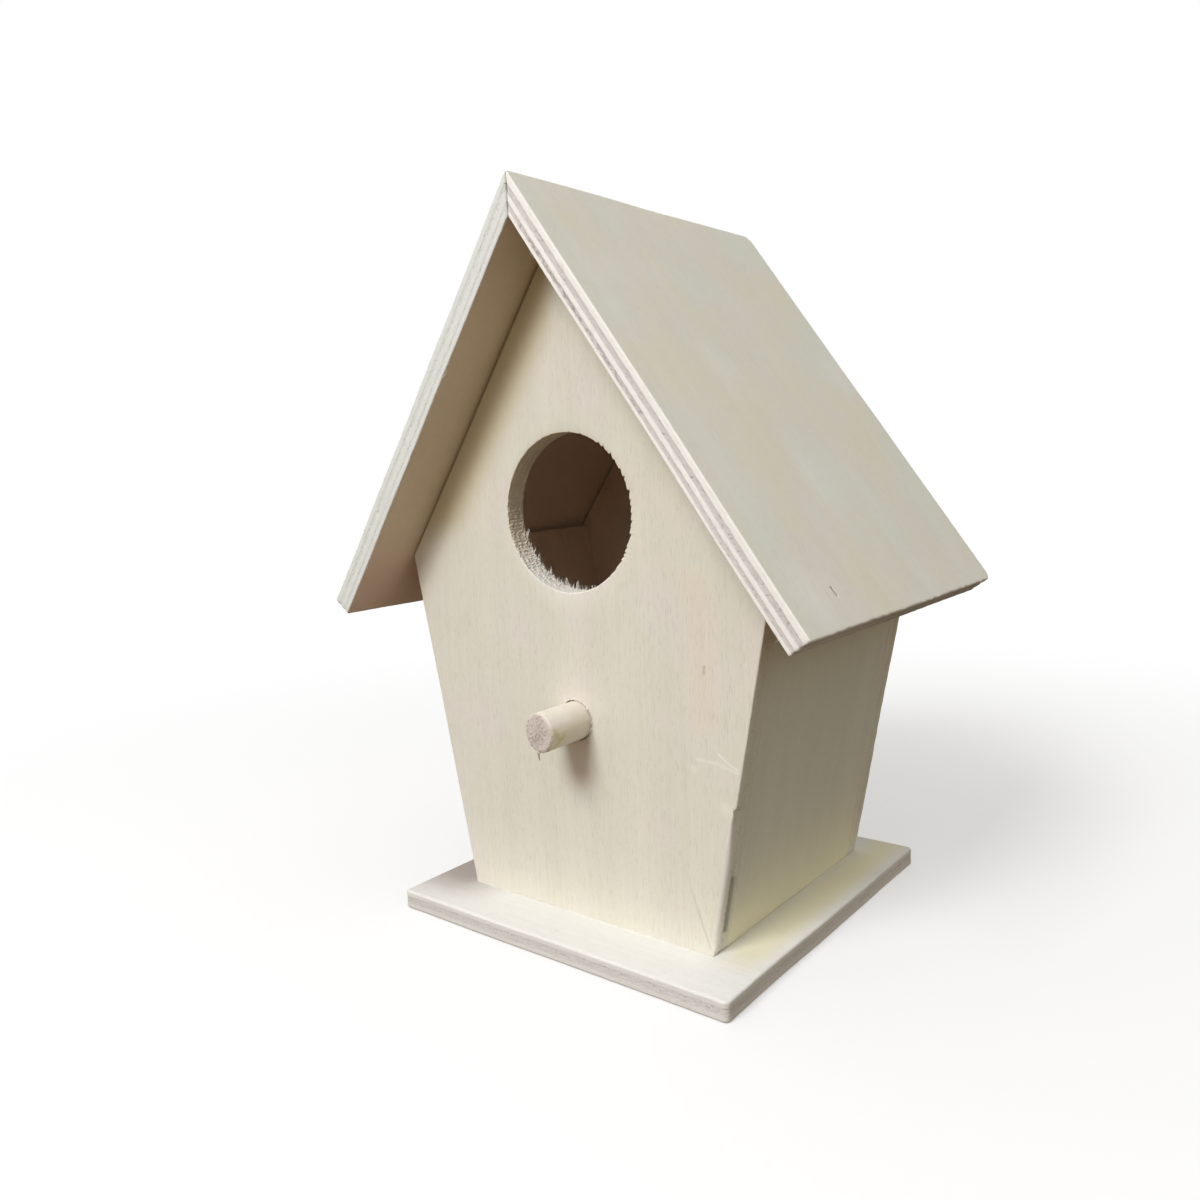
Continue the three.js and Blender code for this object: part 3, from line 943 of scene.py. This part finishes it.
class BIRDHOUSE_OT_side_walls(bpy.types.Operator):
    """Side walls: two leaning sheets, bevelled to the base and to the roof"""

    bl_idname = "birdhouse.side_walls"
    bl_label = "Side Walls"

    glue_line = 0.03 * MM

    def execute(self, context):
        length = (SIZES.shoulder_z - SIZES.foot_z) / math.cos(SIZES.wall_lean)
        set_in = SIZES.panel_thickness + self.glue_line
        bevel = 0, length, -SIZES.wall_lean, math.pi / 2 - SIZES.pitch - SIZES.wall_lean
        for side, sign in SIDES:
            node, seed = f"{side}_wall", 50 + 5 * sign
            low, high = sorted((sign * (SIZES.front_y + set_in), sign * (SIZES.back_y - set_in)))
            piece = sheet_piece(
                node, box_corners(low, high, 0, length), 0.3 * MM, ((low + high) / 2, length / 2),
                (seed, seed + 1, seed + 2), (18, 16), wander=0.5, bevel=bevel, ease=0.2, inner=0.2,
            )
            kind = "wall wall wall inside panel_ply panel_cross_ply"
            material = plywood(
                f"{side} wall plywood", node, kind, THREE_PLIES, False, self.foot_bounce_light, 9.0 + sign
            )
            dressed(piece, material, node)
        return {"FINISHED"}

    @staticmethod
    def foot_bounce_light(finish, colour, relief, across, along, depth):
        """Painted bounce light: the outer veneer grows yellower towards the foot, where light thrown up off
        the base would fall.
        """
        # Painted bounce light off the base, fading up the wall.
        foot = along.below(9.0, 14.0) * depth.below(0.3, 0.1)
        return finish.mixed(foot * 0.55, colour, (0.93, 0.87, 0.58)), relief


class BIRDHOUSE_OT_roof_slabs(bpy.types.Operator):
    """Roof slabs: two steep five-ply sheets, mitred at the ridge and square at the eaves"""

    bl_idname = "birdhouse.roof_slabs"
    bl_label = "Roof Slabs"

    def execute(self, context):
        sheets = context.scene.birdhouse.sheets
        length = SIZES.slope_length
        for side, sign in SIDES:
            node, seed = f"{side}_roof", 70 + 5 * sign
            low, high = sorted((sign * SIZES.roof_y[0], sign * SIZES.roof_y[1]))
            rear, front = sheets.rear_corner, sheets.corner
            radii = (front, rear, rear, front) if side == "right" else (rear, front, front, rear)
            piece = sheet_piece(
                node, box_corners(low, high, -length, 0), radii, ((low + high) / 2, -length / 2),
                (seed, seed + 1, seed + 2), (20, 28), FIVE_PLIES, notch=self.pressed,
                torn=self.torn_eave, bevel=(-length, 0, 0, -SIZES.pitch),
            )
            marks = self.right_marks if side == "right" else self.left_marks
            kind = f"roof roof_pink roof_grey underside {side}_ply {side}_cross_ply"
            material = plywood(
                f"{side} roof plywood", node, kind, FIVE_PLIES, False, marks, 13.0 + sign, 0.06
            )
            dressed(piece, material, node)
        return {"FINISHED"}

    @staticmethod
    def torn_eave(points, depth, noise):
        """The saw tore the outer veneer along the eave: nicks of up to 0.4 mm where the noise
        peaks, fading with depth, between stretches that are almost clean."""
        end = -SIZES.slope_length
        eave = 1 - smooth_step(points[..., 1], end + 0.5 * MM, end + 1.5 * MM)
        bite = 0.08 * noise + 0.4 * smooth_step(noise, 0.95, 1.5)
        return MM * eave * bite * np.exp(-depth / (0.6 * MM))

    @staticmethod
    def pressed(points):
        """The slabs are pressed together along the ridge: their mitred ends stand 0.15 mm out."""
        return -0.15 * MM * smooth_step(points[:, 1], -0.3 * MM, -0.1 * MM)

    @staticmethod
    def left_marks(finish, colour, relief, across, along, depth):
        """Redder undersides near the eave, and paler ones inside the house, which is painted light
        for the dark inside.
        """
        under = depth.above(SIZES.roof_thickness / MM - 0.1, 0.1)
        by_eave = under * along.below(-66.0, 9.0) * 0.7
        # Painted light: the underside inside the house is paler, for the dark inside.
        painted_indoor_light = under * across.above(-22.2, 0.2) * across.below(22.2, 0.2) * along.above(-71.0, 1.0)
        layers = (by_eave, (0.66, 0.46, 0.37)), (painted_indoor_light, (0.95, 0.78, 0.64))
        return finish.tinted(colour, *layers), relief

    @staticmethod
    def right_marks(finish, colour, relief, across, along, depth):
        """As the left slab, with crevices in the upper end of its inner cross ply, painted dark as
        their shade, a duller sawn eave and the short dark slit of a brad near it."""
        colour, relief = BIRDHOUSE_OT_roof_slabs.left_marks(finish, colour, relief, across, along, depth)
        sawn = along.below(0.1 - SIZES.slope_length / MM, 0.15) * depth.above(0.3, 0.2)
        place = finish.together(along, across, depth)
        # Painted shade: dark crevices in the inner cross ply.
        crevice_shade = finish.noise(place, (1.1, 1.6, 0.35), 3.0, 0.65, 51.0).above(0.51, 0.06)
        inner_ply = finish.stroke(depth, along, (2.85, -8.0), (2.85, -42.0), 0.5, 0.25)
        crevice_shade = crevice_shade * inner_ply * across.below(0.2 - SIZES.roof_y[1] / MM, 0.2)
        slit = finish.stroke(across, along, (-20.9, -74.1), (-20.7, -75.3), 0.4) * depth.below(0.3, 0.1)
        colour = finish.tinted(
            colour,
            (sawn * 0.5, (0.30, 0.34, 0.25)),
            (crevice_shade * 0.8, (0.27, 0.24, 0.21)),
            (slit * 0.5, (0.36, 0.35, 0.22)),
        )
        return colour, relief - slit * 0.2


class BIRDHOUSE_OT_perch(bpy.types.Operator):
    """Perch: a dowel with an end sawn askew, worn round its edge, and a stain near it"""

    bl_idname = "birdhouse.perch"
    bl_label = "Perch"

    def execute(self, context):
        perch = context.scene.birdhouse.perch
        radius, rounding = SIZES.perch_radius, perch.end_rounding
        near, far = SIZES.perch_y
        length = far - near
        inset, depth = quarter(rounding, 6)
        profile = [(r, 0.0) for r in np.linspace(0, radius - rounding, 14)]
        profile += [(radius - i, d) for i, d in zip(inset[1:], depth[1:])]
        profile += [(radius, d) for d in np.linspace(rounding, length, 60)[1:]]
        profile += [(radius * 0.6, length), (0.0, length)]
        reach, along = np.array(profile).T[:, :, None]
        angle = np.linspace(0, 2 * math.pi, 120, endpoint=False)[None, :]
        facets = ripple(81, 2.4 * MM, np.cos(angle) * radius, np.sin(angle) * radius, along * 0.12)
        reach = reach * (1 + 0.008 * facets)
        x, z = reach * np.cos(angle), reach * np.sin(angle)
        sawn = np.exp(-along / (0.15 * MM)) * 0.05 * MM * ripple(83, 0.55 * MM, x, z)
        askew = (perch.end_out + perch.end_skew * x) * (1 - along / length)
        points = np.stack([x, near + along + sawn - askew, z], axis=2) + SIZES.perch_middle
        piece = ring_surface("perch_dowel_wood", points)
        dressed(piece, self.dowel_wood(context.scene.birdhouse), "perch_dowel")
        return {"FINISHED"}

    @staticmethod
    def dowel_wood(settings):
        """Straight grain along the dowel; dots and cracks on the sawn end; a yellow-green stain
        round the right side just behind the end."""
        perch, tones = settings.perch, settings.tones
        finish = Finish("dowel wood")
        end = SIZES.perch_middle + np.array([0, SIZES.perch_y[0], 0])
        across, up, out = finish.parts(finish.place_in(Sheet(end, (1, 0, 0), UP, 0)))
        inwards = across * perch.end_skew + perch.end_out / MM - out
        place = finish.together(across, up, inwards)
        lines = finish.noise(place, (0.3, 0.3, 9.0), 3.0, 0.6)
        fuzz = finish.noise(place, (0.14, 0.14, 0.8), 3.0, 0.6, 4.0)
        dots = finish.noise(place, (0.42, 0.34, 3.0), 3.0, 0.7, 8.0)
        patches = finish.noise(place, (2.2, 2.2, 3.5), 2.0, 0.5, 12.0)
        on_end = inwards.below(0.22, 0.16)
        side = finish.mixed(patches.above(0.5, 0.2), tones.dowel, (0.80, 0.74, 0.63))
        stain = finish.stroke(inwards, up, (0.9, 0.7), (1.9, -0.9), 0.7, 0.6)
        stain = stain.greatest(finish.stroke(inwards, up, (1.2, -2.2), (3.0, -0.5), 0.7, 0.6))
        stain = stain * across.above(0.6, 0.9) * patches.above(0.3, 0.2)
        side = finish.mixed(stain * 0.75, side, (0.62, 0.57, 0.20))
        pale_fuzz = finish.stroke(inwards, up, (0.6, 1.6), (4.5, 2.0), 1.6, 1.5)
        side = finish.mixed(pale_fuzz * 0.5, side, (0.93, 0.90, 0.88))
        hollow = finish.stroke(across, up, (-1.0, -1.3), (0.2, -0.3), 1.6, 1.2)
        cracks = (dots + hollow * 0.12).above(0.60, 0.08)
        pale, dark = (tuple(part * scale for part in tones.dowel_end) for scale in (1.12, 0.80))
        colour = finish.mixed(on_end, side, finish.mixed(cracks, pale, dark))
        shade = 1 + (lines - 0.5) * 0.16 + (fuzz - 0.5) * 0.10
        relief = lines * 0.03 + fuzz * 0.02 - cracks * on_end * 0.05
        return finish.done(finish.dimmed(colour, shade), 0.72 + (fuzz - 0.5) * 0.2, relief)


class BIRDHOUSE_OT_torn_fibres(bpy.types.Operator):
    """Torn fibres: slivers left by the hole saw, at the sawn roof edges and round the dowel"""

    bl_idname = "birdhouse.torn_fibres"
    bl_label = "Torn Fibres"

    def execute(self, context):
        settings = context.scene.birdhouse
        pale = self.fibre_wood("torn fibres", settings.tones.fibre)
        dull = self.fibre_wood("perch splinters", settings.tones.splinter)
        for name, fibres, material, slot in (
            ("entrance_fibres", self.entrance_fibres(settings.entrance), pale, "panel_plywood"),
            ("roof_fibres", self.roof_fibres(), pale, "roof_plywood"),
            ("perch_fibres", self.perch_fibres(settings.perch), dull, "perch_dowel"),
            ("perch_crumbs", self.perch_crumbs(), pale, "panel_plywood"),
        ):
            dressed(fibre_mesh(name, *fibres), material)
        return {"FINISHED"}

    @staticmethod
    def entrance_fibres(entrance):
        """Roots spread along the lower left of the bore, most of them on the inner veneer, and
        in six pointed tufts, where a fibre's length falls off as a bell curve from the middle.
        They stand nearly upright, as that veneer's grain does."""
        random = np.random.default_rng(90)
        loose = entrance.fibres
        tufts = np.repeat((200, 214, 221, 236, 253, 264), 16)
        count = loose + len(tufts)
        aside = random.normal(0, 1.1, len(tufts))
        spread = random.triangular(186, 232, 292, loose)
        angle = np.radians(np.concatenate([spread, tufts + aside]))
        inner = np.concatenate([random.beta(1.0, 4.0, loose), random.uniform(0, 0.12, len(tufts))])
        middle = np.array([SIZES.entrance[0], SIZES.front_y, SIZES.entrance[1]])
        roots = middle + (entrance.radius + 0.03 * MM) * circle(angle)
        roots[:, 1] += (1 - inner) * SIZES.panel_thickness
        loosely = np.where(np.arange(count) < loose, 1.0, 0.3)
        lean = loosely * random.normal(0, 0.2, count), loosely * random.normal(-0.05, 0.25, count)
        directions = unit(np.stack([*lean, np.ones(count)], axis=1) - 0.45 * circle(angle))
        lengths = random.gamma(2.2, 0.2, count).clip(0.12, 0.9)
        bell = np.exp(-((aside / 0.9) ** 2))
        lengths[loose:] = 0.2 + 1.5 * bell * random.uniform(0.7, 1, len(tufts))
        widths = random.uniform(0.07, 0.24, count)
        bends = 0.7 * loosely[:, None] ** 2 * random.normal(0, 0.16, (count, 3))
        return roots, directions, MM * lengths, MM * widths, bends

    @staticmethod
    def roof_fibres():
        """Short hairs along the slabs' inner front edges, two longer ones on the left slab."""
        random = np.random.default_rng(92)
        count = 46
        share = random.uniform(0.06, 0.97, count)
        share[:2] = 0.395, 0.49
        side = np.where(np.arange(count) < 30, -1.0, 1.0)
        reach = share * SIZES.slope_length
        side, reach = side[reach > 6 * MM], reach[reach > 6 * MM]
        count = len(reach)
        sine, cosine = math.sin(SIZES.pitch), math.cos(SIZES.pitch)
        into = SIZES.roof_thickness - 0.05 * MM
        x = side * (SIZES.ridge[0] + reach * cosine - into * sine)
        z = SIZES.ridge[1] - reach * sine - into * cosine
        roots = np.stack([x, np.full(count, SIZES.roof_y[0] + 0.12 * MM), z], axis=1)
        under = np.stack([-side * sine, 0 * side, 0 * side - cosine], axis=1)
        directions = under + random.normal(0, 0.45, (count, 3)) + np.array([0, -0.35, 0])
        directions[:2] = (0.95, -0.2, 0.35), (0.8, -0.1, -0.6)
        lengths = random.uniform(0.2, 0.6, count)
        lengths[:2] = 1.5, 0.9
        widths = random.uniform(0.06, 0.13, count)
        return roots, unit(directions), MM * lengths, MM * widths, random.normal(0, 0.2, (count, 3))

    @staticmethod
    def round_perch(random, angle, reach, y, forwards, length, width):
        """Fibres rooted round the perch at the given angles, heights over its side and places
        along it, pointing outwards and forwards."""
        count = len(angle)
        roots = SIZES.perch_middle + (SIZES.perch_radius + reach) * circle(angle)
        roots[:, 1] = y
        directions = circle(angle, -forwards) + random.normal(0, 0.6, (count, 3))
        lengths = MM * random.uniform(*length, count)
        widths = MM * random.uniform(*width, count)
        return roots, unit(directions), lengths, widths, random.normal(0, 0.2, (count, 3))

    def perch_fibres(self, perch):
        """One flat splinter hangs from the sawn end's lower edge, and short fuzz stands round
        that edge."""
        random = np.random.default_rng(94)
        angle = random.uniform(math.radians(150), math.radians(390), 27)
        angle[0] = math.radians(266)
        out = perch.end_out + perch.end_skew * 3.1 * MM * np.cos(angle)
        y = SIZES.perch_y[0] + 0.12 * MM - out
        fibres = self.round_perch(random, angle, -0.15 * MM, y, 0.5, (0.12, 0.35), (0.08, 0.2))
        splinter = (0.15, -0.1, -0.98), 1.3 * MM, 0.8 * MM, (0.05, 0, 0)
        for values, value in zip(fibres[1:], splinter):
            values[0] = value
        return fibres

    def perch_crumbs(self):
        """Pale crumbs round the upper right of the dowel's hole in the front panel."""
        random = np.random.default_rng(95)
        angle = random.uniform(math.radians(-40), math.radians(110), 70)
        y = SIZES.front_y - 0.01 * MM
        return self.round_perch(random, angle, 0.2 * MM, y, 1.8, (0.2, 0.5), (0.15, 0.35))

    @staticmethod
    def fibre_wood(name, tone):
        """Pale raw wood with fine noise in its colour."""
        finish = Finish(name)
        grain = finish.noise(finish.place(), (0.2 * MM, 0.2 * MM, 0.9 * MM), 2.0, 0.6)
        colour = finish.dimmed(tuple(tone), 0.85 + grain * 0.3)
        return finish.done(colour, 0.8 + grain * 0.1, grain * 0.02)


class BIRDHOUSE_OT_brads(bpy.types.Operator):
    """Brads: drawn steel wire with fine lines round it"""

    bl_idname = "birdhouse.brads"
    bl_label = "Brads"

    def execute(self, context):
        finish = Finish("brad steel", specular=0.5)
        finish.shader.inputs["Metallic"].default_value = 1.0
        place = finish.place()
        scuffs = finish.noise(place, (0.3 * MM,) * 3, 3.0, 0.6)
        spots = finish.noise(place, (0.9 * MM,) * 3, 3.0, 0.6, 5.0).above(0.62, 0.06)
        steel = tuple(context.scene.birdhouse.tones.steel)
        colour = finish.mixed(spots * 0.5, finish.dimmed(steel, 0.85 + scuffs * 0.3), (0.22, 0.12, 0.06))
        material = finish.done(colour, 0.3 + scuffs * 0.25, scuffs * 0.01)
        for name, node in frame["nodes"].items():
            if name.startswith("brad_"):
                node.data.materials.clear()
                node.data.materials.append(material)
        return {"FINISHED"}


class BIRDHOUSE_OT_studio(bpy.types.Operator):
    """Studio: a plain pale floor and backdrop, a soft sky, one large light and the camera"""

    bl_idname = "birdhouse.studio"
    bl_label = "Studio"

    def execute(self, context):
        studio = context.scene.birdhouse.studio
        self.camera(context.scene, studio)
        self.floor_and_backdrop()
        self.light(context.scene, studio)
        context.scene.view_settings.view_transform = "Standard"
        return {"FINISHED"}

    @staticmethod
    def towards(azimuth, elevation):
        """The direction of a place round the house, from the front anticlockwise, and up."""
        level = math.cos(elevation)
        return Vector((math.sin(azimuth) * level, -math.cos(azimuth) * level, math.sin(elevation)))

    def camera(self, scene, studio):
        """The camera looks from its azimuth and elevation, then turns by its roll."""
        back = self.towards(studio.azimuth, studio.elevation)
        level = Vector((math.cos(studio.azimuth), math.sin(studio.azimuth), 0.0))
        turn = Matrix([level, back.cross(level), back]).transposed().to_4x4()
        data = bpy.data.cameras.new("camera")
        data.sensor_width = 36.0
        data.lens = studio.lens
        data.clip_start = 0.005
        camera = bpy.data.objects.new("camera", data)
        roll = Matrix.Rotation(studio.roll, 4, "Z")
        camera.matrix_world = Matrix.Translation(studio.place) @ turn @ roll
        scene.collection.objects.link(camera)
        scene.camera = camera

    @staticmethod
    def floor_and_backdrop():
        """A round floor, radius 4 m, just under the base, and a dome of white card over it. The
        floor glows a little, which lightens the house's shadow, and fades into the same white
        with distance. Neither throws light back on the house."""
        radius, columns, below = 4.0, 96, -0.05 * MM
        angle = np.linspace(0, 2 * math.pi, columns, endpoint=False)[None, :]
        reach = radius * np.linspace(0, 1, 14)[1:, None] ** 2
        disc = np.stack([reach * np.cos(angle), reach * np.sin(angle), below + 0 * reach * angle], axis=2)
        disc = np.concatenate([[[0, 0, below]], disc.reshape(-1, 3)])
        faces = (ring_quads(13, columns, False) + 1).tolist() + fan(0, np.arange(columns) + 1)
        floor = mesh_object("floor", disc, faces)

        rise = np.linspace(-0.02, math.pi / 2 - 0.02, 24)[:, None]
        level = np.cos(rise)
        dome = np.stack([level * np.cos(angle), level * np.sin(angle), np.sin(rise) + 0 * angle], axis=2)
        faces = ring_quads(24, columns, False).tolist()
        backdrop = mesh_object("backdrop", radius * dome.reshape(-1, 3), faces)
        backdrop.visible_shadow = False

        card = Finish("floor card", specular=0.0)
        place = card.place()
        x, y, _ = card.parts(place)
        away = x.length_with(y).above(0.17, 0.10) * 0.6 + 0.4
        tooth = card.noise(place, (3 * MM,) * 3, 3.0, 0.6)
        paper = card.dimmed((0.93, 0.925, 0.92), (0.99 + tooth * 0.02) * (1 - away))
        feed(card.tree, card.shader.inputs["Emission Color"], card.dimmed((1.0, 1.0, 1.0), away))
        card.done(paper, 0.9, tooth * 0.01)
        white = Finish("backdrop card", specular=0.0)
        white.shader.inputs["Base Color"].default_value = (0, 0, 0, 1)
        white.shader.inputs["Emission Color"].default_value = (1, 1, 1, 1)
        for piece, finish in ((floor, card), (backdrop, white)):
            finish.shader.inputs["Emission Strength"].default_value = 1.0
            piece.data.materials.append(finish.material)
            piece.visible_diffuse = False
            piece.visible_glossy = False

    def light(self, scene, studio):
        """A sky that is bright overhead, dim and warm at the horizon and dark below, and a square
        key light ahead of the house and up."""
        world = bpy.data.worlds.new("studio sky")
        world.use_nodes = True
        tree = world.node_tree
        way = add_node(tree, "ShaderNodeTexCoord", output="Generated")
        height = add_node(tree, "ShaderNodeSeparateXYZ", None, {0: way}, "Z")
        stops = [(0.0, (0.27, 0.20, 0.14)), (0.08, (0.98, 0.895, 0.74)), (0.7, (0.92, 0.92, 0.91))]
        colour = add_node(tree, "ShaderNodeValToRGB", {"stops": stops}, {"Fac": height})
        sky = tree.nodes["Background"]
        sky.inputs["Strength"].default_value = studio.sky
        feed(tree, sky.inputs["Color"], colour)
        scene.world = world

        towards, distance = self.towards(math.radians(-2.5), math.radians(42)), 0.8
        data = bpy.data.lights.new("key light", "AREA")
        data.size = 0.31
        data.energy = studio.key
        data.color = (0.99, 1.0, 1.03)
        key = bpy.data.objects.new("key light", data)
        key.location = Vector((0, 0, 60 * MM)) + towards * distance
        key.rotation_euler = towards.to_track_quat("Z", "Y").to_euler()
        scene.collection.objects.link(key)


class BIRDHOUSE_PT_panel(bpy.types.Panel):
    """Lists the birdhouse's pieces in the 3D view's sidebar"""

    bl_idname = "BIRDHOUSE_PT_panel"
    bl_label = "Plywood Birdhouse"
    bl_space_type = "VIEW_3D"
    bl_region_type = "UI"
    bl_category = "Birdhouse"

    def draw(self, context):
        for operator in OPERATORS:
            self.layout.operator(operator.bl_idname)


OPERATORS = (
    BIRDHOUSE_OT_studio,
    BIRDHOUSE_OT_base_plate,
    BIRDHOUSE_OT_front_panel,
    BIRDHOUSE_OT_back_panel,
    BIRDHOUSE_OT_side_walls,
    BIRDHOUSE_OT_roof_slabs,
    BIRDHOUSE_OT_perch,
    BIRDHOUSE_OT_torn_fibres,
    BIRDHOUSE_OT_brads,
)
SETTINGS = (SheetSettings, EntranceSettings, PerchSettings, ToneSettings, StudioSettings, BirdhouseSettings)
CLASSES = (*SETTINGS, *OPERATORS, BIRDHOUSE_PT_panel)


def register():
    for group in CLASSES:
        bpy.utils.register_class(group)
    bpy.types.Scene.birdhouse = group_of(BirdhouseSettings)


def unregister():
    del bpy.types.Scene.birdhouse
    for group in reversed(CLASSES):
        bpy.utils.unregister_class(group)


def main():
    register()
    for operator in OPERATORS:
        family, action = operator.bl_idname.split(".")
        getattr(getattr(bpy.ops, family), action)()


if __name__ == "__main__":
    main()
